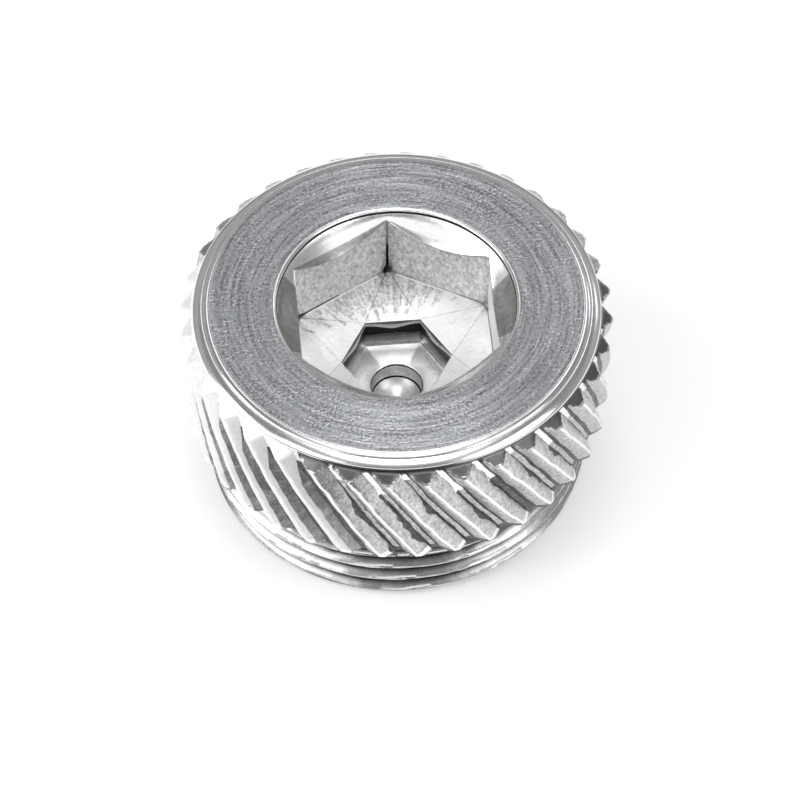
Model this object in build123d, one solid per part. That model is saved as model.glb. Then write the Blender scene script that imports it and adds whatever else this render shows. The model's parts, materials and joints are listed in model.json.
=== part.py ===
from build123d import *
from math import cos, degrees, pi, radians, sin, tan
import os

# Dust cap nut: one turned piece, a knurled head over a threaded shank, opened from the top by a
# stepped hexagon socket. Millimetres. The origin is the centre of the flat end of the shank,
# +Z is up, and two flats of the large hexagon face +X and -X.

# Shank: zone of the M20 x 1 thread, relief groove under the head, chamfer at the end.
thread_diameter = 20.0
shank_length = 4.7
end_chamfer = 0.4
relief_depth = 0.7
relief_width = 1.2

# Head: flat face, polished bevel round it, lead-in cone up to the knurl, heel at the shoulder.
head_diameter = 22.0
head_height = 7.0
face_diameter = 19.2
bevel_diameter = 20.7
bevel_drop = 0.28
lead_in_height = 0.65
heel_chamfer = 0.15

# Knurl: left-hand spiral of straight-flanked teeth. Widths run along the circumference.
tooth_count = 36
tooth_depth = 0.55
tooth_crest = 0.25
tooth_gap = 0.3
helix_angle = 30.0

# Socket, from the top down: countersink, large hexagon, faceted floor, small hexagon, pilot bore.
# The depths are measured down from the face above.
countersink_diameter = 12.4
countersink_slope = 45.0
socket_flats = 10.0
socket_depth = 4.3
floor_drop = 0.36
pocket_flats = 5.0
pocket_depth = 2.19
pocket_countersink = 5.3
pilot_diameter = 2.7
pilot_depth = 1.0
pilot_point_slope = 31.0

# Sides of both hexagons, and where their first corners lie, in degrees from +X.
hexagon_sides = 6
socket_first_corner = 30.0
pocket_first_corner = 0.0

# How far a cutter runs past the face that it opens.
overcut = 0.5

overall_height = shank_length + head_height
head_radius = head_diameter / 2
socket_floor = overall_height - socket_depth
pocket_mouth = socket_floor - floor_drop
pocket_floor = pocket_mouth - pocket_depth


def turned(*outline):
    """Solid of revolution about Z from (radius, height) points."""
    section = make_face(Polyline(*[(radius, 0, height) for radius, height in outline], close=True))
    return revolve(section, axis=Axis.Z)


def point_at(radius, angle):
    """Point in the XY plane at a radius and an angle in degrees from +X."""
    return radius * cos(radians(angle)), radius * sin(radians(angle))


def hexagon_corners(across_flats, height, first_corner):
    """Corners of a hexagon on the Z axis at a height, counter-clockwise from above."""
    radius = across_flats / 2 / cos(pi / hexagon_sides)
    angles = [first_corner + 360 / hexagon_sides * side for side in range(hexagon_sides)]
    return [(*point_at(radius, angle), height) for angle in angles]


def hexagon_prism(across_flats, bottom, top, first_corner):
    """Hexagonal prism on the Z axis."""
    corners = hexagon_corners(across_flats, bottom, first_corner)
    return extrude(make_face(Polyline(*corners, close=True)), amount=top - bottom, dir=(0, 0, 1))


def rise(slope, run):
    """Height climbed over a run at a slope in degrees."""
    return run * tan(radians(slope))


def turned_blank():
    """The piece before it is knurled: shank, relief groove, shoulder, head and bevelled face."""
    thread_radius = thread_diameter / 2
    relief_radius = thread_radius - relief_depth
    relief_bottom = shank_length - relief_width
    bevel_bottom = overall_height - bevel_drop
    return turned(
        (0, 0),
        (thread_radius - end_chamfer, 0),
        (thread_radius, end_chamfer),
        (thread_radius, relief_bottom),
        (relief_radius, relief_bottom + relief_depth / 2),
        (relief_radius, shank_length),
        (head_radius - heel_chamfer, shank_length),
        (head_radius, shank_length + heel_chamfer),
        (head_radius, bevel_bottom - lead_in_height),
        (bevel_diameter / 2, bevel_bottom),
        (face_diameter / 2, overall_height),
        (0, overall_height),
    )


def arc_angle(width, radius):
    """Angle in degrees that a width takes up along a circle."""
    return degrees(width / radius)


def knurl_section():
    """Cross-section of the teeth, each run out to the point where its two flanks meet."""
    root_radius = head_radius - tooth_depth
    pitch_angle = 360 / tooth_count
    crest_half = arc_angle(tooth_crest / 2, head_radius)
    root_half = pitch_angle / 2 - arc_angle(tooth_gap / 2, root_radius)
    apex_radius = head_radius + tooth_depth * crest_half / (root_half - crest_half)
    outline = []
    for tooth in range(tooth_count):
        middle = tooth * pitch_angle
        outline.append(point_at(root_radius, middle - root_half))
        outline.append(point_at(apex_radius, middle))
        outline.append(point_at(root_radius, middle + root_half))
    return make_face(Polyline(*outline, close=True)).face()


def knurl_bar():
    """Toothed bar twisted to the left, past both ends of the blank.

    One tooth crosses +X at the height of the top face. The pointed crests stand outside the
    head, so the head's own cylinder leaves them flat.
    """
    length = overall_height + 2 * overcut
    twist = arc_angle(rise(helix_angle, length), head_radius)
    start_angle = twist * (length - overcut) / length
    section = Pos(0, 0, -overcut) * Rot(0, 0, start_angle) * knurl_section()
    return Solid.extrude_linear_with_rotation(section, (0, 0, -overcut), (0, 0, length), -twist)


def countersink():
    """Cone that opens the socket at the top face and ends inside the large hexagon."""
    top_radius = countersink_diameter / 2 + overcut
    low_radius = socket_flats / 2 - overcut
    high = overall_height + rise(countersink_slope, overcut)
    low = high - rise(countersink_slope, top_radius - low_radius)
    return turned((0, low), (low_radius, low), (top_radius, high), (0, high))


def faceted_floor():
    """Room between the two hexagons: twelve flat facets that meet in creases from corner to corner."""
    low = hexagon_corners(pocket_flats, pocket_mouth, pocket_first_corner)
    high = hexagon_corners(socket_flats, socket_floor, socket_first_corner)
    outlines = [low, high]
    for side in range(hexagon_sides):
        following = (side + 1) % hexagon_sides
        outlines.append([low[side], low[following], high[side]])
        outlines.append([low[following], high[following], high[side]])
    return Solid(Shell([Face(Wire.make_polygon(outline)) for outline in outlines]))


def socket_room():
    """Large hexagon, open at the top, over its faceted floor."""
    high = overall_height + overcut
    return hexagon_prism(socket_flats, socket_floor, high, socket_first_corner) + faceted_floor()


def pocket_room():
    """Small hexagon in the floor of the large one, with a narrow countersink."""
    mouth_radius = pocket_countersink / 2
    low_radius = pocket_flats / 2 - overcut
    low = pocket_mouth - rise(countersink_slope, mouth_radius - low_radius)
    high = pocket_mouth + rise(countersink_slope, overcut)
    cone = turned((0, low), (low_radius, low), (mouth_radius + overcut, high), (0, high))
    return cone + hexagon_prism(pocket_flats, pocket_floor, pocket_mouth, pocket_first_corner)


def pilot_bore():
    """Blind drilled bore on the axis, with the cone that the drill's point leaves."""
    radius = pilot_diameter / 2
    shoulder = pocket_floor - pilot_depth
    point = shoulder - rise(pilot_point_slope, radius)
    high = pocket_floor + overcut
    return turned((0, point), (radius, shoulder), (radius, high), (0, high))


def dust_cap_nut():
    """The finished piece: knurled blank with its stepped socket."""
    knurled = turned_blank() & knurl_bar()
    return knurled - countersink() - socket_room() - pocket_room() - pilot_bore()


os.makedirs("parts", exist_ok=True)
nut = dust_cap_nut().solid()
nut.label = "dust_cap_nut"
export_step(nut, "parts/dust_cap_nut.step")
print("dust_cap_nut", round(nut.volume, 1), "mm3", nut.bounding_box().size)
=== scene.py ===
import json
import math

import bpy
import numpy as np
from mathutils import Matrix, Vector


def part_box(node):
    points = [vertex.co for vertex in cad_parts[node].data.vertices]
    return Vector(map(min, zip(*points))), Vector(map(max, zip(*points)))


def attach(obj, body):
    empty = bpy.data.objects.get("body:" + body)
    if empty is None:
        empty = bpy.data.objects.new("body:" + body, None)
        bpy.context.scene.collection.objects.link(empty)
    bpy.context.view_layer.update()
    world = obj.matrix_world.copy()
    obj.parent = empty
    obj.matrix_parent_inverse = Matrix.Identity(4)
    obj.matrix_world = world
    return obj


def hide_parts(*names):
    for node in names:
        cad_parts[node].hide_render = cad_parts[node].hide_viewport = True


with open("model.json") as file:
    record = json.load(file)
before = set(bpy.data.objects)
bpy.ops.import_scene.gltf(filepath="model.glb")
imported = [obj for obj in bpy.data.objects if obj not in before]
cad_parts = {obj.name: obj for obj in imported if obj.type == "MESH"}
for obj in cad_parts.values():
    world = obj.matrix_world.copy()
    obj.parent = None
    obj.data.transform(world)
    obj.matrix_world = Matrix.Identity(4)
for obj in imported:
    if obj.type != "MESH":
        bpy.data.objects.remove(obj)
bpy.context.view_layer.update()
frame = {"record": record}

# The dust cap nut is one turned piece. Its surface is worked out here as one closed grid of rings,
# from the middle of the shank's end, out over thread and knurl, and down into the stepped socket.
# Sizes are millimetres and degrees, heights run down from the top face, and +Z is up.

mm = 0.001
record = frame["record"]
mounts = {mount["name"]: mount for mount in record["mounts"]}
lowCorner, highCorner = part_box("dust_cap_nut")
topHeight = highCorner.z / mm
headRadius = (highCorner.x - lowCorner.x) / 2 / mm
threadRadius = mounts["thread"]["dims"]["r_mm"]
shoulderDepth = topHeight - mounts["head_shoulder"]["pos_m"][2] / mm

print("frame read: head", round(2 * headRadius, 2), "mm across and", round(topHeight, 2), "mm high")


# shared maths

def smoothStep(low, high, value):
    # 0 below low, 1 above high, and 3t^2 - 2t^3 between
    t = np.clip((value - low) / (high - low), 0, 1)
    return t * t * (3 - 2 * t)


def latticeNoise(around, down, cellsAround, cellsDown, seed):
    # random heights 0..1 on a lattice that closes on itself around the axis, eased between points
    lattice = np.random.default_rng(seed).random((cellsDown + 2, cellsAround))
    u = (around / 360 % 1) * cellsAround
    v = np.clip(down, 0, 1) * cellsDown
    column, row = np.floor(u).astype(int), np.floor(v).astype(int)
    fu, fv = smoothStep(0, 1, u - column), smoothStep(0, 1, v - row)
    left, right = column % cellsAround, (column + 1) % cellsAround
    upper = lattice[row, left] * (1 - fu) + lattice[row, right] * fu
    lower = lattice[row + 1, left] * (1 - fu) + lattice[row + 1, right] * fu
    return upper * (1 - fv) + lower * fv


def hexRadius(acrossFlats, angle, firstCorner):
    # distance to a hexagon's side: half its width over cos of the angle from that side's middle
    fromMiddle = np.radians((angle - firstCorner) % 60 - 30)
    return acrossFlats / 2 / np.cos(fromMiddle)


# finishes, each given as what differs from the plain look: lay is how the tool marks run, across and
# along are the scales of their noise, depths and sizes are millimetres

plainLook = {
    "roughness": 0.3, "lay": "grain", "across": 4.0, "along": 4.0, "layDepth": 0.002,
    "grainSize": 0.2, "grainDepth": 0.002, "shade": 0.2, "roughSpread": 0.1,
}
finishes = {
    "face": {"colour": (0.52, 0.53, 0.555), "roughness": 0.28, "lay": "round", "across": 7.0,
        "along": 2.5, "layDepth": 0.014, "grainSize": 0.15, "grainDepth": 0.018, "shade": 0.66,
        "roughSpread": 0.12, "stretch": 0.8},
    "bevel": {"colour": (0.9, 0.9, 0.91), "roughness": 0.16, "lay": "round", "across": 14.0, "along": 1.2,
        "layDepth": 0.0015, "grainSize": 0.5, "grainDepth": 0.001, "shade": 0.08, "roughSpread": 0.06},
    # painted shade: the lead-in cone's dark colour
    "leadIn": {"colour": (0.2, 0.203, 0.21), "lay": "round", "across": 8.0, "along": 2.0, "shade": 0.15,
        "roughSpread": 0.08},
    # painted highlight: white on the crests, at the tops of the grooves and on the teeth's lower ends
    "crest": {"colour": (0.96, 0.96, 0.96), "roughness": 0.2, "across": 5.0, "along": 5.0,
        "layDepth": 0.003, "grainSize": 0.12, "grainDepth": 0.004, "shade": 0.12, "roughSpread": 0.08},
    "flank": {"colour": (0.66, 0.665, 0.67), "roughness": 0.38, "across": 3.0, "along": 3.0,
        "layDepth": 0.014, "grainSize": 0.13, "grainDepth": 0.022, "shade": 0.5, "roughSpread": 0.12},
    # painted highlight: white, partly matt, on the teeth and lead-in cone towards the key lamp and on the
    # socket flat facing it
    "paintedHighlight": {"colour": (0.97, 0.97, 0.97), "roughness": 0.35, "layDepth": 0.004, "grainSize": 0.14,
        "grainDepth": 0.006, "shade": 0.12, "roughSpread": 0.08, "satin": 0.7},
    "flankShade": {"colour": (0.46, 0.46, 0.47), "roughness": 0.38, "across": 3.0, "along": 3.0,
        "layDepth": 0.014, "grainSize": 0.13, "grainDepth": 0.018, "shade": 0.45, "roughSpread": 0.12},
    "burr": {"colour": (0.58, 0.58, 0.59), "roughness": 0.34, "layDepth": 0.012, "grainSize": 0.14,
        "grainDepth": 0.016, "shade": 0.55},
    "backFlank": {"colour": (0.66, 0.66, 0.67), "roughness": 0.4, "layDepth": 0.01, "grainSize": 0.12,
        "grainDepth": 0.012, "shade": 0.5, "roughSpread": 0.12},
    "rootShade": {"colour": (0.17, 0.17, 0.175), "roughness": 0.45, "layDepth": 0.01, "grainSize": 0.12,
        "grainDepth": 0.014, "shade": 0.6},
    # painted shade: near black in the corner cuts, under the small hexagon's lip, round the rim and in the
    # pilot
    "creviceShade": {"colour": (0.025, 0.025, 0.027), "roughness": 0.5, "layDepth": 0.006, "grainSize": 0.12,
        "grainDepth": 0.01, "shade": 0.5},
    # painted shade along the shank's foot, where it stands on the floor
    "chamfer": {"colour": (0.34, 0.34, 0.35), "roughness": 0.35, "lay": "round", "across": 8.0,
        "layDepth": 0.008, "grainSize": 0.12, "grainDepth": 0.012, "shade": 0.6},
    # the thread's roots are painted darker as shade
    "thread": {"colour": (0.66, 0.66, 0.67), "roughness": 0.24, "lay": "round", "across": 10.0,
        "along": 1.5, "layDepth": 0.003, "grainDepth": 0.003, "rootShadeLine": (0.15, 0.3, 0.92)},
    # painted shade: the relief groove and the underside of the head
    "relief": {"colour": (0.22, 0.22, 0.23), "lay": "round", "across": 10.0, "along": 1.5,
        "layDepth": 0.003},
    "countersink": {"colour": (0.86, 0.855, 0.845), "roughness": 0.26, "lay": "round", "across": 12.0,
        "along": 1.5, "grainSize": 0.3, "shade": 0.12, "roughSpread": 0.08},
    # painted shade on the countersink's left and right sides
    "countersinkShade": {"colour": (0.47, 0.46, 0.45), "lay": "upright", "across": 6.0, "along": 0.6,
        "layDepth": 0.004, "grainSize": 0.3, "shade": 0.3, "roughSpread": 0.08},
    "wall": {"colour": (0.98, 0.97, 0.975), "roughness": 0.34, "lay": "upright", "across": 5.0,
        "along": 2.5, "layDepth": 0.012, "grainDepth": 0.034, "shade": 0.6, "satin": 0.45},
    # painted shade: a darker copy of the wall, on the flat that faces away from the key lamp
    "wallShaded": {"colour": (0.92, 0.9, 0.91), "roughness": 0.34, "lay": "upright", "across": 5.0,
        "along": 2.5, "layDepth": 0.01, "grainDepth": 0.024, "shade": 0.48, "satin": 0.35},
    # painted shade: a darker line along the wall's top edge and foot
    "wallEdgeShade": {"colour": (0.5, 0.5, 0.5), "grainDepth": 0.004, "shade": 0.3},
    # the floor's creases are thin lines of painted shade
    "floor": {"colour": (0.98, 0.98, 0.98), "lay": "radial", "across": 26.0, "along": 0.4,
        "layDepth": 0.008, "grainDepth": 0.004, "shade": 0.12, "satin": 0.45, "creases": (0.035, 0.3)},
    # painted shade: the darker back of the floor, where its creases are darker too
    "floorShade": {"colour": (0.8, 0.8, 0.8), "lay": "radial", "across": 26.0, "along": 0.4,
        "layDepth": 0.014, "grainDepth": 0.012, "shade": 0.6, "satin": 0.2, "creases": (0.035, 0.5)},
    # painted shade: darker rings at the small hexagon's mouth and partway down its wall
    "lipEdgeShade": {"colour": (0.45, 0.45, 0.45), "roughness": 0.35, "layDepth": 0.003, "grainDepth": 0.004,
        "shade": 0.3},
    "lip": {"colour": (0.98, 0.98, 0.98), "grainDepth": 0.003, "shade": 0.15, "satin": 0.4},
    "pocket": {"colour": (0.9, 0.895, 0.9), "lay": "upright", "across": 8.0, "along": 1.0,
        "grainSize": 0.3},
    "pocketShade": {"colour": (0.28, 0.28, 0.28), "roughness": 0.35, "lay": "upright", "across": 8.0,
        "along": 1.0, "grainSize": 0.3},
    "pocketFloor": {"colour": (0.98, 0.98, 0.98), "lay": "round", "across": 8.0, "along": 1.0,
        "layDepth": 0.004, "grainSize": 0.3, "grainDepth": 0.003, "shade": 0.12, "satin": 0.25},
}
finishOrder = list(finishes)


# knurl and head; a share of a flank counts from its crest to its root

knurl = {
    "teeth": 36,
    "columns": 16,
    "depth": 0.55,
    "crestWidth": 0.16,
    "rootWidth": 0.26,
    "helix": 30.0,
    "roundEdge": 0.18,
    "flankLines": (0.12, 0.25, 0.6, 0.94),
    "rows": 50,
    "leadInRows": 6,
    "heel": 0.22,
    "heelRound": 0.96,
    "heelRows": (0.7, 0.4, 0.15, 0.0),
    "nicks": 0.04,
    "nickReach": (0.8, 2.6),
    "nickRange": (0.45, 1.0),
    "ripple": 0.02,
    "wander": 0.5,
    "wanderRange": (0.1, 0.25),
    "coarseCells": (108, 9),
    "mediumCells": (216, 26),
    "fineCells": (576, 50),
    "tears": 0.05,
    "tearFoot": 0.93,
    "tearStart": 0.22,
    "tearBlend": 0.25,
    "tearLeast": 0.05,
    "tearWidth": 0.34,
    "tearRagged": 0.25,
    "tearCells": 24,
    "farTear": 0.2,
    "chipCells": 6,
    "chipRange": (0.5, 0.95),
    "chipGape": (0.45, 0.55),
    # bearings of the lit sector, whose teeth are painted white as highlight, with wedges of painted shade in
    # their grooves
    "litSector": (156, 236),
    "litSectorTop": 1.1,
    "litSectorRagged": 0.2,
    "wedgeLeast": 0.04,
    "wedgeWidth": 0.44,
    "wedgeRun": 1.3,
    "wedgeRagged": 0.05,
    # lengths of the painted highlight at the groove tops and on the teeth's lower ends
    "brightTop": 2.0,
    "brightRange": (0.45, 0.9),
    "brightHeel": 0.7,
    # teeth whose noise falls below this get their root strip painted shade
    "shadedStrips": 0.12,
    "seed": 41,
}
# finishes over a tooth's columns, from crest to crest: crest painted as highlight, flank, tear painted
# as shade, light strip, groove painted as shade, far flank
toothBands = (("crest", 1), ("flank", 4), ("rootShade", 2), ("burr", 2), ("rootShade", 2),
              ("backFlank", 4), ("crest", 1))
# first and last column of the parts of a tooth that change their finish
toothParts = {"land": (0, 4), "groove": (5, 14), "tear": (5, 9), "wedgeEdge": (5, 5), "wedge": (6, 8),
              "strip": (7, 8)}
bevel = {
    "outerRadius": 10.35,
    "innerRadius": 9.6,
    "drop": 0.28,
    "crown": (0.78, 0.44),
    "rows": (10.15, 9.7),
    "edgeRound": (0.04, 0.01),
    "faceRound": (0.04, 0.1, 0.006),
    "stepDepth": 0.2,
    "stepWidth": 0.07,
    "stepRow": (0.4, 0.5),
    "stepRound": 0.02,
    "lineRadius": 9.85,
    "lineDepth": 0.025,
    "lineHalf": 0.06,
    "leadInDepth": 0.9,
    "coneGap": 0.01,
    # the lead-in cone is painted dark as shade, except round this bearing
    "paleMiddle": 70,  # where the lead-in cone is paler
    "paleReach": 0.35,  # least cosine of the angle from there
}
toothColumns = knurl["columns"]
columns = toothColumns * knurl["teeth"]
columnAngle = np.arange(columns) * 360 / columns


def finishGrid(rings, width, name):
    # one finish for every face between each ring and the next
    return np.full((rings, width), finishOrder.index(name))


def columnPlace(index):
    # for each column: which grid line it is, counted from crest to root, its side and its tooth
    middle = toothColumns // 2
    half = index % toothColumns
    line = np.minimum(half, toothColumns - half)
    side = np.where(half <= middle, 1, -1)
    # the middle of a root belongs to the tooth before it
    tooth = np.round(index / toothColumns + np.where(half == middle, -0.01, 0))
    return line, side, tooth


toothPitch = 360 / knurl["teeth"]
crestHalf = math.degrees(knurl["crestWidth"] / 2 / headRadius)
rootEdge = toothPitch / 2 - math.degrees(knurl["rootWidth"] / 2 / (headRadius - knurl["depth"]))
rootEdgeLine = 6
lineNumber, lineSide, toothNumber = columnPlace(np.arange(columns))


def toothLines(tearEdge):
    # angle of each grid line from its crest: crest edge, flank, torn edge, root edge, root middle
    start, near, far, last = knurl["flankLines"]
    level = 0 * tearEdge
    share = np.stack([
        level,
        start + level,
        start + (tearEdge - start) * near,
        start + (tearEdge - start) * far,
        tearEdge,
        last + level,
        1 + level,
    ])
    flank = crestHalf + (rootEdge - crestHalf) * share
    ends = np.zeros((1, *tearEdge.shape))
    lines = np.concatenate([ends, flank, ends + toothPitch / 2])
    return np.take_along_axis(lines, lineNumber[None, None, :] + 0 * tearEdge[None].astype(int), 0)[0]


def toothRadius(fromCrest):
    # crest flat, an edge rounded by a parabola, then a straight flank down to the root flat
    share = np.clip((fromCrest - crestHalf) / (rootEdge - crestHalf), 0, 1)
    edge = knurl["roundEdge"]
    eased = np.where(share < edge, share ** 2 / (2 * edge), share - edge / 2) / (1 - edge / 2)
    return headRadius - knurl["depth"] * eased


def spiralTurn(down):
    # left-hand spiral: the turn grows with depth by tan(helix) over the radius
    return np.degrees(math.tan(math.radians(knurl["helix"])) * down / headRadius)


def knurlRings():
    # rings of the toothed wall: radius = the smallest of tooth, lead-in cone and rounded heel,
    # where a tooth loses nicks along its crest, a ripple all over and a tear along its root
    seed = knurl["seed"]
    bevelEdge = bevel["drop"] + bevel["stepDepth"]
    down = np.concatenate([
        np.linspace(bevelEdge, bevel["leadInDepth"], knurl["leadInRows"])[:-1],
        np.linspace(bevel["leadInDepth"], shoulderDepth - knurl["heel"], knurl["rows"]),
        shoulderDepth - knurl["heel"] * np.array(knurl["heelRows"]),
    ])[:, None]
    depthShare = np.tile(down / shoulderDepth, (1, columns))
    toothMiddle = np.tile(toothNumber * toothPitch, (len(down), 1))

    # along each near flank the torn groove is a band of painted shade, a ragged width that opens with depth
    tearNoise = latticeNoise(toothMiddle, depthShare, knurl["teeth"], knurl["tearCells"], seed + 3)
    chips = latticeNoise(toothMiddle, depthShare, knurl["teeth"], knurl["chipCells"], seed + 4)
    opened = smoothStep(knurl["tearStart"], knurl["tearStart"] + knurl["tearBlend"], depthShare)
    chipLeast, chipMore = knurl["chipGape"]
    chipped = smoothStep(*knurl["chipRange"], chips) * (chipLeast + chipMore * tearNoise)
    gape = knurl["tearRagged"] * tearNoise + chipped
    tear = (knurl["tearLeast"] + knurl["tearWidth"] * gape) * opened
    # on the side towards the key lamp the teeth are painted white as highlight,
    # and each groove's painted shade opens as an even wedge
    low, high = knurl["litSector"]
    inLitSector = (toothMiddle % 360 > low) & (toothMiddle % 360 < high)
    opening = down - knurl["litSectorTop"] - knurl["litSectorRagged"] * chips
    widening = knurl["wedgeWidth"] * np.clip(opening / knurl["wedgeRun"], 0, 1)
    wedge = knurl["wedgeLeast"] + widening + knurl["wedgeRagged"] * tearNoise * opened
    tear = np.where(inLitSector, wedge, tear)
    tear = np.where(lineSide > 0, tear, knurl["farTear"])
    fromCrest = toothLines(knurl["tearFoot"] - tear)
    around = toothMiddle + lineSide * fromCrest

    coarse = latticeNoise(around, depthShare, *knurl["coarseCells"], seed)
    medium = latticeNoise(around, depthShare, *knurl["mediumCells"], seed + 1)
    fine = latticeNoise(around, depthShare, *knurl["fineCells"], seed + 2)
    tooth = toothRadius(fromCrest)
    reachIn, reachOut = knurl["nickReach"]
    nearCrest = 1 - smoothStep(crestHalf * reachIn, crestHalf * reachOut, fromCrest)
    tooth = tooth - nearCrest * knurl["nicks"] * smoothStep(*knurl["nickRange"], medium)
    tooth = tooth - knurl["ripple"] * (fine + medium - 1)
    tooth = tooth - knurl["tears"] * opened * (lineSide > 0) * (lineNumber == rootEdgeLine) * (0.5 + medium)
    wander = knurl["wander"] * (coarse - 0.5) * smoothStep(*knurl["wanderRange"], depthShare)
    angle = around + spiralTurn(down) + wander

    slope = (headRadius - bevel["outerRadius"] - bevel["stepWidth"]) / (bevel["leadInDepth"] - bevelEdge)
    leadIn = bevel["outerRadius"] + bevel["stepWidth"] + (down - bevelEdge) * slope
    toEnd = np.clip((down - shoulderDepth + knurl["heel"]) / knurl["heel"], 0, 1)
    heel = headRadius - knurl["heel"] * (1 - np.sqrt(1 - knurl["heelRound"] * toEnd ** 2))
    radius = np.minimum(np.minimum(np.minimum(tooth, leadIn), heel), headRadius)

    bands = np.concatenate([[finishOrder.index(name)] * count for name, count in toothBands])
    column = np.arange(columns)[None, :] % toothColumns
    finish = np.tile(bands[column], (len(down), 1))

    def paint(name, mask, part=None):
        # one finish where the mask holds, and only on the named part of each tooth
        if part is not None:
            first, last = toothParts[part]
            mask = mask & (column >= first) & (column <= last)
        finish[mask] = finishOrder.index(name)

    keepsStrip = latticeNoise(toothMiddle, 0 * depthShare, knurl["teeth"], 1, seed + 5) > knurl["shadedStrips"]
    brightLeast, brightMore = knurl["brightRange"]
    highlightLength = knurl["brightTop"] * (brightLeast + brightMore * chips)
    # painted shade on the root strip of teeth without a light strip
    paint("rootShade", ~keepsStrip, "strip")
    # painted highlight: the tops of the grooves are painted white for a ragged length
    paint("crest", down < highlightLength, "tear")
    # painted highlight over the teeth of the lit sector
    paint("paintedHighlight", inLitSector)
    # in the lit sector each groove's wedge is painted shade, with a lighter painted shade along its edge
    paint("rootShade", inLitSector & (opening > 0), "wedge")
    # painted highlight on the teeth's lower ends, and painted shade in the grooves there
    paint("crest", (toEnd > 0) & (toEnd < knurl["brightHeel"]), "land")
    paint("rootShade", toEnd > 0, "groove")
    paint("flankShade", inLitSector & (opening > 0), "wedgeEdge")
    # the lead-in cone is painted dark as shade, white as highlight in the lit sector, and takes the root
    # strip's lighter colour round paleMiddle
    onCone = (down < bevel["leadInDepth"]) & (radius > leadIn - bevel["coneGap"])
    paint("leadIn", onCone)
    paint("paintedHighlight", onCone & inLitSector)
    paint("burr", onCone & (np.cos(np.radians(toothMiddle - bevel["paleMiddle"])) > bevel["paleReach"]))
    return radius, np.tile(down, (1, columns)), angle, finish


# shank with its thread; heights run up from the shank's end

thread = {
    "pitch": 1.0,
    "depth": 0.541,
    "crestFlat": 0.125,
    "rootFlat": 0.25,
    "crestHeight": 0.724,
    "rows": 48,
    "endChamfer": 0.4,
    "endRadii": (0.5, 3.0, 6.0, 9.0),
    "endRound": 0.05,
    # height up to which the shank's foot is painted darker as shade
    "footShadeTo": 0.47,
    "wear": 0.02,
    "wearRange": (0.55, 0.95),
    "wearCells": (120, 40),
    "wearHeight": 5,
    "reliefBottom": 3.5,
    "reliefTop": 3.85,
    "reliefMiddle": 4.2,
    "reliefRadius": 9.3,
    "reliefFrom": 0.1,
    "shoulderRows": (0.35, 0.9),
    "seed": 12,
}
shankAngle = columnAngle + spiralTurn(shoulderDepth)


def threadRings():
    # right-hand thread: one crest climbs a pitch each turn, with flanks straight between its flats
    height = np.concatenate([
        np.linspace(0, thread["reliefTop"], thread["rows"]),
        [thread["reliefMiddle"], topHeight - shoulderDepth],
    ])[:, None]
    angle = np.tile(shankAngle, (len(height), 1))
    phase = ((height - thread["crestHeight"]) / thread["pitch"] - angle / 360) % 1
    away = np.minimum(phase, 1 - phase) * thread["pitch"]
    flank = thread["pitch"] / 2 - thread["crestFlat"] / 2 - thread["rootFlat"] / 2
    share = np.clip((away - thread["crestFlat"] / 2) / flank, 0, 1)
    radius = threadRadius - thread["depth"] * share
    upShare = np.tile(height / thread["wearHeight"], (1, columns))
    wear = latticeNoise(angle, upShare, *thread["wearCells"], thread["seed"])
    radius = radius - thread["wear"] * smoothStep(*thread["wearRange"], wear) * (1 - share)
    chamfer = threadRadius - thread["endChamfer"] + height
    reliefRun = thread["reliefTop"] - thread["reliefBottom"]
    inRelief = np.clip((height - thread["reliefBottom"]) / reliefRun, 0, 1)
    relief = threadRadius - (threadRadius - thread["reliefRadius"]) * inRelief
    radius = np.minimum(np.minimum(radius, chamfer), relief)
    finish = finishGrid(len(height), columns, "thread")
    # painted shade along the foot of the shank
    finish[height[:, 0] < thread["footShadeTo"]] = finishOrder.index("chamfer")
    # painted shade in the relief groove under the head
    finish[height[:, 0] > thread["reliefBottom"] + thread["reliefFrom"]] = finishOrder.index("relief")
    return radius, np.tile(topHeight - height, (1, columns)), angle, finish


def shankEndRings():
    # flat end of the shank, from near its middle to the chamfer
    rim = threadRadius - thread["endChamfer"] - thread["endRound"]
    radii = np.array([*thread["endRadii"], rim])[:, None]
    radius = np.tile(radii, (1, columns))
    angle = np.tile(shankAngle, (len(radii), 1))
    return radius, np.full_like(radius, topHeight), angle, finishGrid(len(radii), columns, "face")


def shoulderRings(heelRadius, heelAngle):
    # underside of the head between the relief groove and the toothed edge, painted dark as shade
    shares = np.array(thread["shoulderRows"])[:, None]
    start = thread["reliefRadius"]
    radius = start + (heelRadius - start) * shares
    angle = shankAngle + (heelAngle - shankAngle) * shares
    return radius, np.full_like(radius, shoulderDepth), angle, finishGrid(len(shares), columns, "relief")


# socket; each profile lists its rings from the top down, most with their finish

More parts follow.
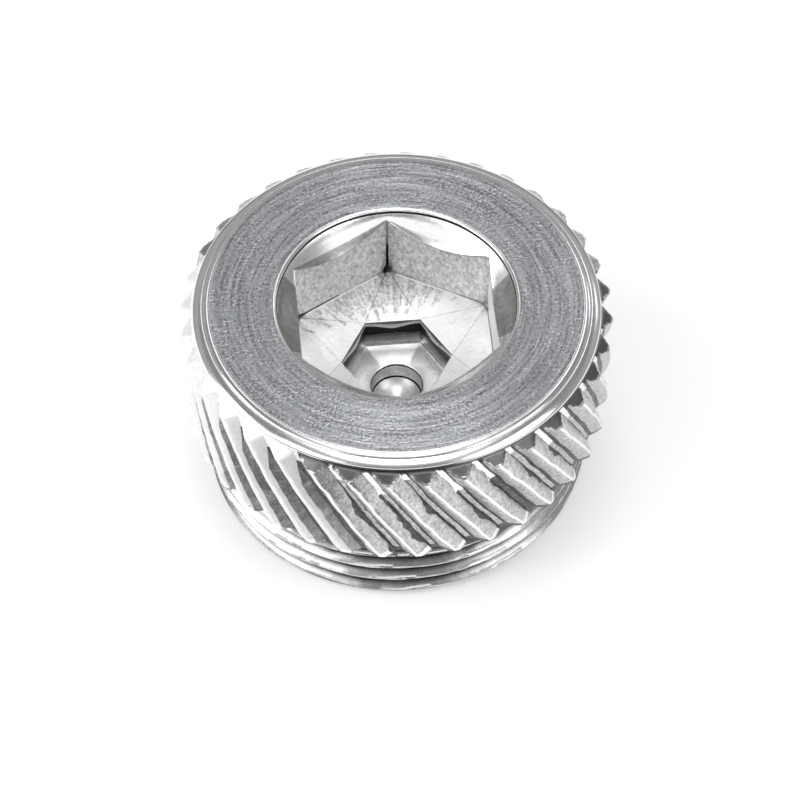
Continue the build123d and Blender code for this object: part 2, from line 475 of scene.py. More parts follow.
socket = {
    "innerColumns": 288,
    "faceRing": 6.9,
    "rimRadius": 6.2,
    "rimProfile": ((0.07, 0.0, "bevel"), (0.0, 0.008, "bevel"), (-0.06, 0.04, "bevel"),
                   (-0.1, 0.1, "creviceShade")),
    "coneTop": ((-0.13, 0.21), (-0.22, 0.26)),
    "coneRows": (0.25, 0.5, 0.66, 0.96),
    "coneRound": (0.04, 0.02),
    # bearings and half-widths where the countersink is painted darker as shade; on the shaded flat its lower
    # part is too
    "sinkShadeSides": ((181.0, 24.0), (-5.0, 18.0)),
    "sinkShadeBelow": 0.6,
    "flats": 10.0,
    "firstCorner": 30.0,
    "cornerColumns": (0, 1.25, 2.5, 3.75, 5, 30),
    "cornerTurns": (0, 0.22, 0.6, 2.2, 4.6, 30),
    "wallDepth": 4.3,
    "wallTop": (0.004, 0.02, 0.04),
    "wallRows": (0.12, 0.3, 0.5, 0.7, 0.86),
    "wallFoot": 0.06,
    "cornerRelief": 0.06,
    "cornerSpread": 0.7,
    "footRelief": 0.2,
    "footRange": (0.45, 0.9),
    "footSpread": 3.6,
    "footProfile": ((0.05, 0.17), (0.08, 0.05)),
    "footShade": 122,
    # the flat painted white as highlight, and the flat painted darker as shade from the given bearing on
    "brightFlat": 5,
    "shadedFlat": 1,
    "shadedFlatFrom": 114.0,
    "cutHalf": 0.2,
    # the back corner, whose cut and foot are painted dark as shade more widely than the others
    "shadowCorner": 90.0,
    "shadowHalf": 5,
    "shadowFrom": 0.5,
    "shadowWidth": 0.5,
    "shadowFoot": 1.5,
    "shadowFootFrom": 89.8,
    "floorEdge": (0.05, 0.012, 0.14),
    "floorRows": (0.06, 0.2, 0.36, 0.52, 0.68, 0.84, 0.97),
    "shadedSide": 100.0,
    "shadedFrom": 3.3,
    "shadedRagged": (0.5, 36),
    "mouthFlats": 5.0,
    "mouthCorner": 0.0,
    "mouthDepth": 4.66,
    "lipWidth": 0.14,
    "lipRange": (0.35, 0.65),
    "lipProfile": ((0.0, 0.0, 0.0, "lipEdgeShade"), (0.5, 0.1, 0.08, "lip"), (1.0, 0.2, 0.12, "lip"),
                   (1.0, 0.24, 0.14, "creviceShade"), (0.3, 0.32, 0.16, "creviceShade"), (0.0, 0.4, 0.16, "creviceShade"),
                   (0.0, 1.02, -0.06, "rootShade"), (0.0, 1.2, 0.0, "pocketShade"),
                   (0.0, 1.42, 0.0, "lipEdgeShade"), (0.0, 1.6, 0.0, "pocket")),
    "pocketFloor": 6.85,
    "pocketDish": 0.22,
    "pocketFoot": ((0.0, 0.14, "pocket"), (0.02, 0.04, "pocketFloor"), (0.1, 0.0, "pocketFloor")),
    "pocketRows": (0.3, 0.65, 0.9),
    "pilotRadius": 1.35,
    "pilotDepth": 7.85,
    "pilotPoint": 8.3,
    "pilotMouth": ((0.03, 0.005, "bevel"), (0.0, 0.03, "creviceShade"), (-0.02, 0.1, "pocket")),
    "pilotFoot": ((-0.02, -0.08, "creviceShade"), (-0.08, 0.0, "lip")),
    "pilotCone": ((0.5, 0.5), (0.12, 0.88)),
}
innerAngle = np.arange(socket["innerColumns"]) * 360 / socket["innerColumns"]


def floorDepth(radius, angle):
    # twelve flat facets between the hexagons: the shallowest of the planes through their sides
    x, y = radius * np.cos(np.radians(angle)), radius * np.sin(np.radians(angle))
    side = np.radians(np.arange(6) * 60)[:, None]
    bigIn, smallIn = socket["flats"] / 2, socket["mouthFlats"] / 2
    flatToCorner = math.cos(math.radians(30))
    rise = socket["mouthDepth"] - socket["wallDepth"]
    bigRun = x * np.cos(side) + y * np.sin(side)
    smallSide = side + math.radians(30)
    smallRun = x * np.cos(smallSide) + y * np.sin(smallSide)
    bigPlane = (bigRun - smallIn / flatToCorner) * rise / (bigIn - smallIn / flatToCorner)
    smallPlane = (smallRun - smallIn) * rise / (bigIn / flatToCorner - smallIn)
    climb = np.maximum(bigPlane.max(0), smallPlane.max(0))
    return socket["mouthDepth"] - climb


def socketRings():
    # rim, countersink down to where it meets the hexagon, hexagon wall, faceted floor, lip,
    # small hexagon, dished floor and drilled pilot, as rings of radius, depth and finish
    plain = innerAngle
    # the columns crowd together at the large hexagon's corners, where its dark cuts are
    fromCorner = (plain - socket["firstCorner"] + 30) % 60 - 30
    awayBig = np.interp(np.abs(fromCorner), socket["cornerColumns"], socket["cornerTurns"])
    warped = plain + np.sign(fromCorner) * awayBig - fromCorner
    big = hexRadius(socket["flats"], warped, socket["firstCorner"])
    small = hexRadius(socket["mouthFlats"], plain, socket["mouthCorner"])
    awaySmall = np.abs((plain - socket["mouthCorner"] + 30) % 60 - 30)
    atCorner = np.exp(-(awayBig / socket["cornerSpread"]) ** 2)
    nearCorner = np.exp(-(awayBig / socket["footSpread"]) ** 2)
    rings = []

    def ring(radius, depth, turn, *names):
        # later names apply only where their mask holds
        finish = np.full(len(plain), finishOrder.index(names[0]))
        for name, mask in names[1:]:
            finish[mask] = finishOrder.index(name)
        rings.append((radius + 0 * plain, depth + 0 * plain, turn + 0 * plain, finish))

    rim = socket["rimRadius"]
    ring(socket["faceRing"], 0, warped, "face")
    # the rim's last ring is painted near black as shade
    for outward, depth, name in socket["rimProfile"]:
        ring(rim + outward, depth, warped, name)
    flat = np.floor((warped - socket["firstCorner"]) / 60) % 6
    onShadedFlat = flat == socket["shadedFlat"]
    # the countersink is painted darker as shade on its left and right sides, and low down on the shaded flat
    sides = [np.abs((warped - middle + 180) % 360 - 180) < half for middle, half in socket["sinkShadeSides"]]
    sinkShadeSide = np.any(sides, axis=0)
    for outward, depth in socket["coneTop"]:
        ring(rim + outward, depth, warped, "countersink", ("countersinkShade", sinkShadeSide))
    coneStart = depth
    roundTop, roundLow = socket["coneRound"]
    meet = rim - big + roundLow
    for share in socket["coneRows"]:
        low = sinkShadeSide | (onShadedFlat & (share > socket["sinkShadeBelow"]))
        depth = coneStart + (meet - coneStart) * share
        outer = rim + roundTop - depth + roundLow * share
        ring(outer, depth, warped, "countersink", ("countersinkShade", low))

    # flats of the large hexagon, each with its own finish: one partly painted darker as shade, the one
    # facing the key lamp painted white as highlight, and the cuts in their corners painted dark as shade,
    # widest at the back
    nearest = np.minimum(awayBig, np.roll(awayBig, -1))
    shadowCorner = np.abs(warped - socket["shadowCorner"]) < socket["shadowHalf"]
    cornerCut = nearest < socket["cutHalf"]
    wideShade = cornerCut | (shadowCorner & (nearest < socket["shadowWidth"]))
    cornerFootShade = shadowCorner & (nearest < socket["shadowFoot"])
    shadedWall = ("wallShaded", onShadedFlat & (warped > socket["shadedFlatFrom"]))
    bright = ("paintedHighlight", flat == socket["brightFlat"])
    wallDepth = socket["wallDepth"]
    edgeOut, topOut, topDown = socket["wallTop"]
    # a line of painted shade along the wall's top edge
    ring(big + edgeOut, meet, warped, "wallEdgeShade")
    ring(big + topOut * atCorner, meet + topDown, warped, "wall", shadedWall, ("creviceShade", cornerCut))
    for share in socket["wallRows"]:
        depth = meet + (wallDepth - socket["wallFoot"] - meet) * share
        reach = smoothStep(*socket["footRange"], share)
        slot = socket["cornerRelief"] + (socket["footRelief"] - socket["cornerRelief"]) * reach
        cornerShadeMask = wideShade if share >= socket["shadowFrom"] else cornerCut
        ring(big + slot * atCorner, depth, warped, "wall", shadedWall, bright, ("creviceShade", cornerShadeMask))
    foot = big + socket["footRelief"] * atCorner
    (flare, above), (lastFlare, lastAbove) = socket["footProfile"]
    # the wall's foot is a line of painted shade, darker on the shaded flat and near black at the back corner
    ring(foot + flare * nearCorner, wallDepth - above, warped, "wall", shadedWall, ("creviceShade", wideShade | cornerFootShade))
    ring(foot + lastFlare * nearCorner, wallDepth - lastAbove, warped, "wallEdgeShade",
         ("rootShade", onShadedFlat & (warped > socket["footShade"])),
         ("creviceShade", cornerFootShade & (warped > socket["shadowFootFrom"])))

    inward, below, sag = socket["floorEdge"]
    # the floor's edge by the back corner and its back part are painted darker as shade
    ring(big - inward, wallDepth + below + sag * nearCorner, warped, "floor", ("floorShade", shadowCorner))
    ragged, waves = socket["shadedRagged"]
    for share in socket["floorRows"]:
        turn = warped + (plain - warped) * share
        edge = hexRadius(socket["flats"], turn, socket["firstCorner"])
        hole = hexRadius(socket["mouthFlats"], turn, socket["mouthCorner"])
        radius = edge + (hole - edge) * share
        behind = radius * np.cos(np.radians(turn - socket["shadedSide"]))
        shaded = behind > socket["shadedFrom"] + ragged * np.cos(np.radians(turn * waves))
        ring(radius, floorDepth(radius, turn), turn, "floor", ("floorShade", shaded))

    scallop = np.cos(np.radians(awaySmall * 3 - 90)) ** 2
    lipLeast, lipMore = socket["lipRange"]
    lip = socket["lipWidth"] * (lipLeast + lipMore * scallop)
    # under the lip the wall is painted as shade, from near black through dark grey to the pocket's own
    # colour
    for share, depth, wave, name in socket["lipProfile"]:
        ring(small - share * lip, socket["mouthDepth"] + depth + wave * scallop, plain, name)
    floor, dish, pilot = socket["pocketFloor"], socket["pocketDish"], socket["pilotRadius"]
    for inward, above, name in socket["pocketFoot"]:
        ring(small - inward, floor - dish - above, plain, name)
    for share in socket["pocketRows"]:
        ring(small + (pilot - small) * share, floor - dish * (1 - share), plain, "pocketFloor")
    # the pilot's mouth and foot have thin rings painted near black as shade
    for outward, below, name in socket["pilotMouth"]:
        ring(pilot + outward, floor + below, plain, name)
    # halfway down, the bore repeats the last ring of its mouth
    ring(pilot + outward, (floor + socket["pilotDepth"]) / 2, plain, name)
    for outward, below, name in socket["pilotFoot"]:
        ring(pilot + outward, socket["pilotDepth"] + below, plain, name)
    for part, share in socket["pilotCone"]:
        point = socket["pilotDepth"] + (socket["pilotPoint"] - socket["pilotDepth"]) * share
        ring(pilot * part, point, plain, "lip")
    return tuple(np.array(part) for part in zip(*rings))


face = {
    "grooves": {9.28: 0.014, 8.95: 0.01, 8.14: 0.008},
    "grooveHalf": 0.05,
    "grooveFoot": 1.3,
    "innerRing": 7.4,
    "toothFade": 0.3,
    "tearEdge": 0.9,
}


def headTopRings():
    # step, bevel with its fine line, and the flat face with its shallow turned grooves
    edge, inner, drop = bevel["outerRadius"], bevel["innerRadius"], bevel["drop"]
    line, half = bevel["lineRadius"], bevel["lineHalf"]
    stepOut, stepDown = bevel["stepRow"]
    roundIn, roundUp = bevel["edgeRound"]
    outerRow, innerRow = bevel["rows"]
    radii = [edge + bevel["stepWidth"] * stepOut, edge, edge - roundIn]
    depths = [drop + stepDown * bevel["stepDepth"], drop + bevel["stepRound"], drop - roundUp]
    # the bevel is slightly crowned: it falls faster beyond its middle
    slight, steep = bevel["crown"]
    for radius in (outerRow, line + half, line, line - half, innerRow, inner):
        share = (radius - inner) / (edge - inner)
        sink = bevel["lineDepth"] if radius == line else 0
        radii.append(radius)
        depths.append(drop * (slight * share + steep * max(0, share - 0.5)) + sink)
    nearIn, farIn, nearDepth = bevel["faceRound"]
    radii += [inner - nearIn, inner - farIn]
    depths += [nearDepth, 0.0]
    bevelRings = len(radii) - 1
    for groove, sink in face["grooves"].items():
        half, foot = face["grooveHalf"], face["grooveHalf"] * face["grooveFoot"]
        radii += [groove + foot, groove + half, groove, groove - half, groove - foot]
        depths += [0, 0, sink, 0, 0]
    radii.append(face["innerRing"])
    depths.append(0)
    radius = np.tile(np.array(radii)[:, None], (1, columns))
    depth = np.tile(np.array(depths)[:, None], (1, columns))
    # columns follow the teeth at the edge and are evenly spaced on the face
    blend = smoothStep(0, face["toothFade"], depth)
    toothAngle = toothNumber * toothPitch + lineSide * toothLines(np.full((1, columns), face["tearEdge"]))
    angle = columnAngle + (toothAngle - columnAngle) * blend + spiralTurn(depth)
    finish = finishGrid(len(radii), columns, "face")
    finish[:bevelRings] = finishOrder.index("bevel")
    return radius, depth, angle, finish


# from rings to a mesh

sharpFrom = 38


def ringPoints(radius, depth, angle):
    # x, y from radius and angle, z down from the top face, in metres
    turn = np.radians(angle)
    points = np.stack([radius * np.cos(turn), radius * np.sin(turn), topHeight - depth], -1)
    return points.reshape(-1, 3) * mm


def quadBand(firstRing, rings, width, offset):
    # quads between neighbouring rings of equal width, closed round the axis
    row = (np.arange(rings - 1)[:, None] + firstRing) * width
    here = np.arange(width)[None, :]
    there = (here + 1) % width
    quads = np.stack([row + here, row + there, row + width + there, row + width + here], -1)
    return quads.reshape(-1, 4) + offset


def buildNut():
    # all rings joined in one closed mesh: quads between rings, fans at the two poles on the axis
    wall = knurlRings()
    outerParts = [
        shankEndRings(),
        threadRings(),
        shoulderRings(wall[0][-1], wall[2][-1]),
        tuple(part[::-1] for part in wall),
        headTopRings(),
    ]
    radius, depth, angle, outerFinish = (np.concatenate(parts) for parts in zip(*outerParts))
    innerRadius, innerDepth, innerTurn, innerFinish = socketRings()
    outerRings, innerRings, innerWidth = len(radius), len(innerRadius), socket["innerColumns"]
    points = np.concatenate([
        ringPoints(radius, depth, angle),
        ringPoints(innerRadius, innerDepth, innerTurn),
        np.array([[0, 0, 0], [0, 0, (topHeight - socket["pilotPoint"]) * mm]]),
    ])
    offset = outerRings * columns
    outerQuads = quadBand(0, outerRings, columns, 0)
    innerQuads = quadBand(0, innerRings, innerWidth, offset)
    # two columns of the outer grid meet one of the inner grid
    coarse = np.arange(innerWidth)
    lastOuter = (outerRings - 1) * columns
    joint = np.stack([
        lastOuter + 2 * coarse,
        lastOuter + 2 * coarse + 1,
        lastOuter + (2 * coarse + 2) % columns,
        offset + (coarse + 1) % innerWidth,
        offset + coarse,
    ], -1)
    bottomPole, pilotPole = len(points) - 2, len(points) - 1
    around = np.arange(columns)
    bottomFan = np.stack([np.full(columns, bottomPole), (around + 1) % columns, around], -1)
    lastInner = offset + (innerRings - 1) * innerWidth
    pilotFan = np.stack([lastInner + coarse, lastInner + (coarse + 1) % innerWidth,
                         np.full(innerWidth, pilotPole)], -1)
    bands = (outerQuads, innerQuads, joint, bottomFan, pilotFan)
    loops = np.concatenate([band.ravel() for band in bands])
    sizes = np.concatenate([np.full(len(band), band.shape[1]) for band in bands])
    finish = np.concatenate([
        outerFinish[:-1].ravel(), innerFinish[:-1].ravel(), outerFinish[-1, ::2],
        outerFinish[0], innerFinish[-1],
    ])
    mesh = bpy.data.meshes.new("dustCapNut")
    mesh.vertices.add(len(points))
    mesh.vertices.foreach_set("co", points.ravel())
    mesh.loops.add(len(loops))
    mesh.loops.foreach_set("vertex_index", loops.astype(np.int32))
    mesh.polygons.add(len(sizes))
    mesh.polygons.foreach_set("loop_start", np.concatenate([[0], np.cumsum(sizes)[:-1]]).astype(np.int32))
    mesh.polygons.foreach_set("loop_total", sizes.astype(np.int32))
    mesh.polygons.foreach_set("material_index", finish.astype(np.int32))
    mesh.polygons.foreach_set("use_smooth", np.ones(len(sizes), bool))
    mesh.update(calc_edges=True)
    mesh.validate()
    mesh.set_sharp_from_angle(angle=math.radians(sharpFrom))
    nut = bpy.data.objects.new("dustCapNut", mesh)
    bpy.context.scene.collection.objects.link(nut)
    triangles = int((sizes - 2).sum())
    print("nut surface:", outerRings, "outer and", innerRings, "inner rings,", triangles, "triangles")
    return nut


# materials

toolMarks = {
    "stretchTurn": 0.25,
    "climb": 0.8,
    "noiseRoughness": 0.6,
    "layDetail": 3.0,
    "grainDetail": 2.0,
    "patchScale": 0.9,
    "patchRange": (0.3, 0.7),
    "toneRange": (0.35, 0.65),
    "lighter": 0.4,
    "creaseCore": 0.4,
}


def makeFinish(name, look):
    # metal whose tool marks run round, radially, upright or at random, over a fine grain; satin
    # finishes are partly white and matt instead, by lowering Metallic
    material = bpy.data.materials.new(name)
    material.use_nodes = True
    tree = material.node_tree
    nodes, link = tree.nodes, tree.links.new
    shader = nodes["Principled BSDF"]
    shader.inputs["Metallic"].default_value = 1 - look.get("satin", 0)
    if "stretch" in look:
        # the round lay draws reflections out across itself
        shader.inputs["Anisotropic"].default_value = look["stretch"]
        shader.inputs["Anisotropic Rotation"].default_value = toolMarks["stretchTurn"]
        tangent = nodes.new("ShaderNodeTangent")
        tangent.direction_type = "RADIAL"
        tangent.axis = "Z"
        link(tangent.outputs["Tangent"], shader.inputs["Tangent"])

    def fill(socketIn, value):
        # a number or vector is set on the socket, anything else is linked to it
        if isinstance(value, (int, float, tuple)):
            socketIn.default_value = value
        else:
            link(value, socketIn)

    def vectorMath(operation, first, second=None, factor=None):
        made = nodes.new("ShaderNodeVectorMath")
        made.operation = operation
        link(first, made.inputs[0])
        if second is not None:
            fill(made.inputs[1], second)
        if factor is not None:
            fill(made.inputs["Scale"], factor)
        return made.outputs["Value" if operation == "LENGTH" else "Vector"]

    def mathNode(operation, first, second=0):
        made = nodes.new("ShaderNodeMath")
        made.operation = operation
        fill(made.inputs[0], first)
        fill(made.inputs[1], second)
        return made.outputs[0]

    def noise(vector, scale, detail):
        made = nodes.new("ShaderNodeTexNoise")
        link(vector, made.inputs["Vector"])
        made.inputs["Scale"].default_value = scale
        made.inputs["Detail"].default_value = detail
        made.inputs["Roughness"].default_value = toolMarks["noiseRoughness"]
        return made.outputs["Fac"]

    def mapRange(value, fromMin, fromMax, toMin=0.0, toMax=1.0):
        made = nodes.new("ShaderNodeMapRange")
        ends = {"From Min": fromMin, "From Max": fromMax, "To Min": toMin, "To Max": toMax}
        for end, number in ends.items():
            made.inputs[end].default_value = number
        link(value, made.inputs["Value"])
        return made.outputs["Result"]

    def bump(height, depth, under=None):
        made = nodes.new("ShaderNodeBump")
        made.inputs["Distance"].default_value = depth * mm
        link(height, made.inputs["Height"])
        if under is not None:
            link(under, made.inputs["Normal"])
        return made.outputs["Normal"]

    coordinates = nodes.new("ShaderNodeTexCoord").outputs["Object"]
    inMm = vectorMath("SCALE", coordinates, factor=1 / mm)
    axes = nodes.new("ShaderNodeSeparateXYZ")
    link(inMm, axes.inputs[0])
    x, y, z = axes.outputs
    if look["lay"] in ("round", "radial"):
        flat = vectorMath("MULTIPLY", inMm, (1, 1, 0))
        radius = vectorMath("LENGTH", flat)
        reach = mathNode("ADD", radius, mathNode("MULTIPLY", z, toolMarks["climb"]))
        onHeading, onReach = look["along"], look["across"]
        if look["lay"] == "radial":
            onHeading, onReach = onReach, onHeading
        spread = vectorMath("SCALE", vectorMath("NORMALIZE", flat), factor=onHeading)
        lift = nodes.new("ShaderNodeCombineXYZ")
        link(mathNode("MULTIPLY", reach, onReach), lift.inputs["Z"])
        layVector = vectorMath("ADD", spread, lift.outputs[0])
    else:
        upright = look["along"] if look["lay"] == "upright" else look["across"]
        layVector = vectorMath("MULTIPLY", inMm, (look["across"], look["across"], upright))
    layNoise = noise(layVector, 1.0, toolMarks["layDetail"])
    grainNoise = noise(inMm, 1 / look["grainSize"], toolMarks["grainDetail"])
    patchNoise = noise(inMm, toolMarks["patchScale"], toolMarks["grainDetail"])

    # lay and grain raise the surface, each by its own depth
    raised = bump(grainNoise, look["grainDepth"], bump(layNoise, look["layDepth"]))
    link(raised, shader.inputs["Normal"])

    # the same two noises vary the colour between a darker and a lighter tone
    mixed = mathNode("ADD", mathNode("MULTIPLY", layNoise, 0.5), mathNode("MULTIPLY", grainNoise, 0.5))
    lighter = 1 + look["shade"] * toolMarks["lighter"]
    shade = nodes.new("ShaderNodeMix")
    shade.data_type = "RGBA"
    shade.inputs["A"].default_value = (*[c * (1 - look["shade"]) for c in look["colour"]], 1)
    shade.inputs["B"].default_value = (*[min(1, c * lighter) for c in look["colour"]], 1)
    link(mapRange(mixed, *toolMarks["toneRange"]), shade.inputs["Factor"])
    colour = shade.outputs["Result"]
    if "rootShadeLine" in look:
        # the thread's root is painted darker as shade: its distance along the axis from the nearest crest
        nearEdge, farEdge, darkening = look["rootShadeLine"]
        climb = mathNode("DIVIDE", mathNode("SUBTRACT", z, thread["crestHeight"]), thread["pitch"])
        turns = mathNode("DIVIDE", mathNode("ARCTAN2", y, x), 2 * math.pi)
        fromCrest = mathNode("PINGPONG", mathNode("SUBTRACT", climb, turns), 0.5)
        kept = mapRange(fromCrest, nearEdge, farEdge, 1.0, 1 - darkening)
        colour = vectorMath("SCALE", colour, factor=kept)
    if "creases" in look:
        # thin line of painted shade where the floor's facets meet: distance to the line from a corner of the
        # large hexagon to the nearest corner of the small one, in one folded twelfth of the floor
        halfWidth, darkening = look["creases"]
        folded = mathNode("PINGPONG", mathNode("ARCTAN2", y, x), math.radians(30))
        smallCorner = socket["mouthFlats"] / 2 / math.cos(math.radians(30))
        bigIn, bigHalf = socket["flats"] / 2, socket["flats"] / 2 * math.tan(math.radians(30))
        run = math.hypot(bigIn - smallCorner, bigHalf)
        ahead = mathNode("MULTIPLY", radius, mathNode("COSINE", folded))
        aside = mathNode("MULTIPLY", radius, mathNode("SINE", folded))
        onto = mathNode("MULTIPLY", mathNode("SUBTRACT", ahead, smallCorner), bigHalf / run)
        off = mathNode("SUBTRACT", onto, mathNode("MULTIPLY", aside, (bigIn - smallCorner) / run))
        core = halfWidth * toolMarks["creaseCore"]
        kept = mapRange(mathNode("ABSOLUTE", off), core, halfWidth, 1 - darkening, 1.0)
        colour = vectorMath("SCALE", colour, factor=kept)
    link(colour, shader.inputs["Base Color"])

    spreadHalf = look["roughSpread"] / 2
    least, most = look["roughness"] - spreadHalf, look["roughness"] + spreadHalf
    rough = mapRange(patchNoise, *toolMarks["patchRange"], least, most)
    link(rough, shader.inputs["Roughness"])
    return material


nut = buildNut()
for finishName in finishOrder:
    nut.data.materials.append(makeFinish(finishName, {**plainLook, **finishes[finishName]}))
print("finishes:", ", ".join(finishOrder))

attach(nut, "root")
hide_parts("dust_cap_nut")


# view: angles in degrees, clip in metres, the rest in millimetres

view = {
    "azimuth": -5.0,
    "elevation": 52.4,
    "distance": 162.0,
    "right": 0.167,
    "up": -4.99,
    "lens": 144.0,
    "sensor": 36.0,
    "clip": (0.01, 10),
}


# studio: floor, world, card and lamps, in metres

studio = {
    "floorSize": 1.6,
    "floorGap": 0.00002,
    "floorGrid": (24, 96),
    "floorColour": (0.93, 0.93, 0.93),
    "floorLift": 0.3,
    "sky": [(0.0, 0.08), (0.1, 0.2), (0.2, 0.36), (0.58, 0.4), (0.7, 0.24), (0.93, 0.26), (0.99, 0.8)],
}


def studioSheet(name, materialName, points, faces):
    # an object of the studio, and the nodes of a material of its own
    mesh = bpy.data.meshes.new(name)
    mesh.from_pydata(points.tolist(), [], faces)
    sheet = bpy.data.objects.new(name, mesh)
    bpy.context.scene.collection.objects.link(sheet)
    material = bpy.data.materials.new(materialName)
    material.use_nodes = True
    mesh.materials.append(material)
    return sheet, material.node_tree


def makeFloor():
    # level disc under the nut: rings of points at equal steps, joined by quads
    rings, spokes = studio["floorGrid"]
    level = lowCorner.z - studio["floorGap"]
    share = np.linspace(0, 1, rings + 1)[1:, None]
    turn = np.arange(spokes)[None, :] * 2 * math.pi / spokes
    reach = share * studio["floorSize"] / 2
    x, y = reach * np.cos(turn), reach * np.sin(turn)
    z = np.full_like(x, level)
    points = np.concatenate([np.stack([x, y, z], -1).reshape(-1, 3), [[0, 0, level]]])
    quads = quadBand(0, rings, spokes, 0)[:, ::-1]
    around = np.arange(spokes)
    fan = np.stack([np.full(spokes, rings * spokes), around, (around + 1) % spokes], -1)
    floor, tree = studioSheet("studioFloor", "palePaper", points, quads.tolist() + fan.tolist())
    nodes, link = tree.nodes, tree.links.new
    shader = nodes["Principled BSDF"]
    shader.inputs["Base Color"].default_value = (*studio["floorColour"], 1)
    shader.inputs["Roughness"].default_value = 0.9
    shader.inputs["Specular IOR Level"].default_value = 0.0
    shader.inputs["Emission Color"].default_value = (1, 1, 1, 1)
    # seen directly or in a reflection, the floor glows a little towards white
    path = nodes.new("ShaderNodeLightPath")
    seen = nodes.new("ShaderNodeMath")
    seen.operation = "MAXIMUM"
    link(path.outputs["Is Camera Ray"], seen.inputs[0])
    link(path.outputs["Is Glossy Ray"], seen.inputs[1])
    lift = nodes.new("ShaderNodeMath")
    lift.operation = "MULTIPLY"
    link(seen.outputs[0], lift.inputs[0])
    lift.inputs[1].default_value = studio["floorLift"]
    link(lift.outputs[0], shader.inputs["Emission Strength"])


def makeWorld():
    # white to the camera; for light and reflections, dark at the horizon, paler to about 35 degrees
    # up, darker again above that, and pale overhead
    world = bpy.data.worlds.new("studioWorld")
    world.use_nodes = True
    bpy.context.scene.world = world
    tree = world.node_tree
    nodes, link = tree.nodes, tree.links.new
    direction = nodes.new("ShaderNodeTexCoord")
    parts = nodes.new("ShaderNodeSeparateXYZ")
    link(direction.outputs["Generated"], parts.inputs[0])
    ramp = nodes.new("ShaderNodeValToRGB")
    link(parts.outputs["Z"], ramp.inputs["Fac"])
    stops = ramp.color_ramp.elements
    for stop, (position, tone) in zip(stops, studio["sky"]):
        stop.position, stop.color = position, (tone, tone, tone, 1)
    for position, tone in studio["sky"][2:]:
        stops.new(position).color = (tone, tone, tone, 1)
    dim = nodes.new("ShaderNodeBackground")
    link(ramp.outputs["Color"], dim.inputs["Color"])
    white = nodes.new("ShaderNodeBackground")
    white.inputs["Color"].default_value = (1, 1, 1, 1)
    path = nodes.new("ShaderNodeLightPath")
    mix = nodes.new("ShaderNodeMixShader")
    link(path.outputs["Is Camera Ray"], mix.inputs["Fac"])
    link(dim.outputs[0], mix.inputs[1])
    link(white.outputs[0], mix.inputs[2])
    link(mix.outputs[0], nodes["World Output"].inputs["Surface"])


# what reflects it is darker in front; the camera, shadows and diffuse light leave it out
darkCard = {
    "bearing": 268.0,
    "halfWidth": 30.0,
    "near": 0.026,
    "far": 0.3,
    "topElevation": 18.0,
    "risesFrom": 0.3,
    "reachedAt": 0.6,
    "lift": 0.0004,
    "grid": (13, 17),
    "tone": 0.04,
}


def makeDarkCard():
    # sheet that lies on the floor in front of the object and rises farther out: distance and
    # elevation are each eased along it, and its width is an arc of bearings
    rows, across = darkCard["grid"]
    share = np.linspace(0, 1, rows)[:, None]
    turn = np.linspace(-1, 1, across)[None, :] * math.radians(darkCard["halfWidth"])
    turn = turn + math.radians(darkCard["bearing"] + view["azimuth"])
    tilt = np.radians(darkCard["topElevation"]) * smoothStep(darkCard["risesFrom"], 1, share)
    out = smoothStep(0, darkCard["reachedAt"], share)
    reach = darkCard["near"] + (darkCard["far"] - darkCard["near"]) * out
    x = reach * np.cos(tilt) * np.cos(turn)
    y = reach * np.cos(tilt) * np.sin(turn)
    z = reach * np.sin(tilt) * np.ones_like(turn) + lowCorner.z + darkCard["lift"]
    index = np.arange(rows * across).reshape(rows, across)
    quads = np.stack([index[:-1, :-1], index[:-1, 1:], index[1:, 1:], index[1:, :-1]], -1).reshape(-1, 4)
    card, tree = studioSheet("darkCard", "blackFelt", np.stack([x, y, z], -1).reshape(-1, 3), quads.tolist())
    shader = tree.nodes["Principled BSDF"]
    shader.inputs["Base Color"].default_value = (darkCard["tone"],) * 3 + (1,)
    shader.inputs["Roughness"].default_value = 1.0
    card.visible_camera = card.visible_shadow = card.visible_diffuse = False


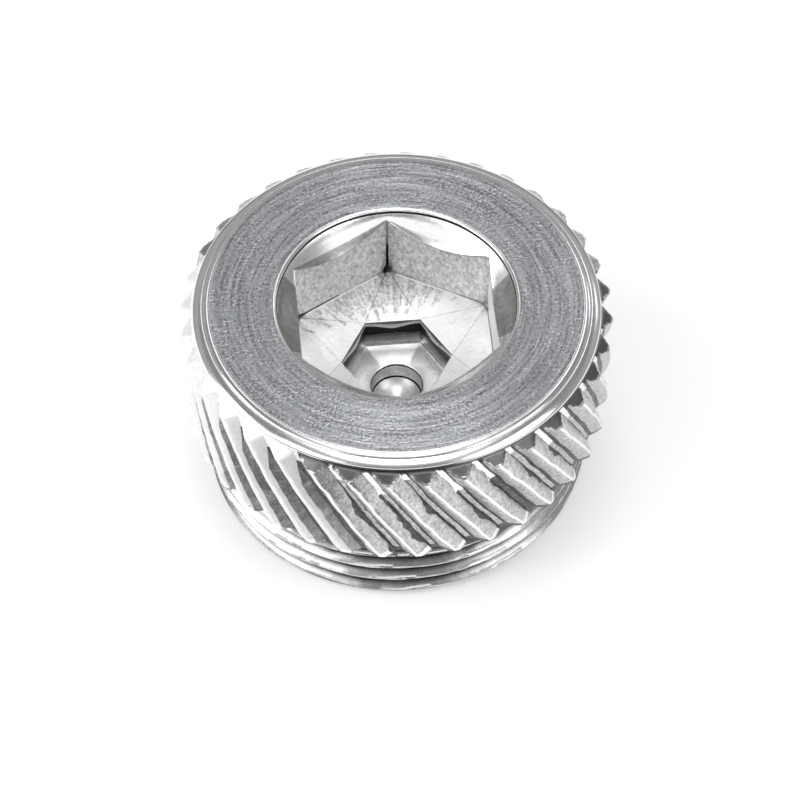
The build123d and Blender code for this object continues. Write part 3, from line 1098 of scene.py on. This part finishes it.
# bearing and elevation in degrees, then distance, width, height and tone
lamps = {
    "keyLeft": (190, 34, 0.4, 0.26, 0.28, 2.2),
    "leftSoft": (214, 56, 0.45, 0.16, 0.14, 1.6),
    "topSoft": (90, 86, 0.45, 0.18, 0.24, 1.5),
    "backStrip": (89, 65, 0.45, 0.06, 0.12, 2.3),
    "backStripRight": (70, 51, 0.45, 0.07, 0.14, 1.3),
    "backStripLeft": (111, 54, 0.45, 0.07, 0.13, 1.0),
    "rightSoft": (342, 56, 0.45, 0.22, 0.16, 1.6),
    "backRight": (46, 31, 0.45, 0.07, 0.06, 1.3),
    "frontRight": (322, 26, 0.5, 0.26, 0.2, 1.0),
    "frontSoft": (268, 38, 0.5, 0.9, 0.14, 1.0),
}
wattsPerTone = 4


def headingOf(bearing, elevation):
    # unit vector from the object towards a bearing, counted from the camera's right, and elevation
    turn = math.radians(bearing + view["azimuth"])
    tilt = math.radians(elevation)
    return np.array([math.cos(turn) * math.cos(tilt), math.sin(turn) * math.cos(tilt), math.sin(tilt)])


def aim(thing, position, direction):
    # place a lamp or camera: its Z runs against the direction, its X level, its Y upwards
    back = -np.array(direction) / np.linalg.norm(direction)
    across = np.cross((0, 0, 1), back)
    across = across / np.linalg.norm(across)
    placed = np.eye(4)
    placed[:3] = np.stack([across, np.cross(back, across), back, position], -1)
    thing.matrix_world = placed.T.tolist()


def makeLamps():
    # area lamps aimed at the object; their power is the tone times the area
    for name, (bearing, elevation, distance, width, height, tone) in lamps.items():
        data = bpy.data.lights.new(name, "AREA")
        data.shape = "RECTANGLE"
        data.size, data.size_y = width, height
        data.energy = tone * wattsPerTone * width * height
        made = bpy.data.objects.new(name, data)
        bpy.context.scene.collection.objects.link(made)
        heading = headingOf(bearing, elevation)
        aim(made, heading * distance, -heading)


def makeCamera():
    # along the view direction from the middle of the top face, moved aside by right and up
    turn, tilt = math.radians(view["azimuth"]), math.radians(view["elevation"])
    back = np.array([math.sin(turn) * math.cos(tilt), -math.cos(turn) * math.cos(tilt), math.sin(tilt)])
    right = np.array([math.cos(turn), math.sin(turn), 0])
    up = np.cross(back, right)
    place = np.array([0, 0, topHeight]) + back * view["distance"] + right * view["right"] + up * view["up"]
    data = bpy.data.cameras.new("studioCamera")
    data.lens, data.sensor_width = view["lens"], view["sensor"]
    data.clip_start, data.clip_end = view["clip"]
    camera = bpy.data.objects.new("studioCamera", data)
    bpy.context.scene.collection.objects.link(camera)
    aim(camera, place * mm, -back)
    bpy.context.scene.camera = camera


makeFloor()
makeWorld()
makeLamps()
makeDarkCard()
makeCamera()
bpy.context.scene.view_settings.view_transform = "Standard"
print("studio ready")
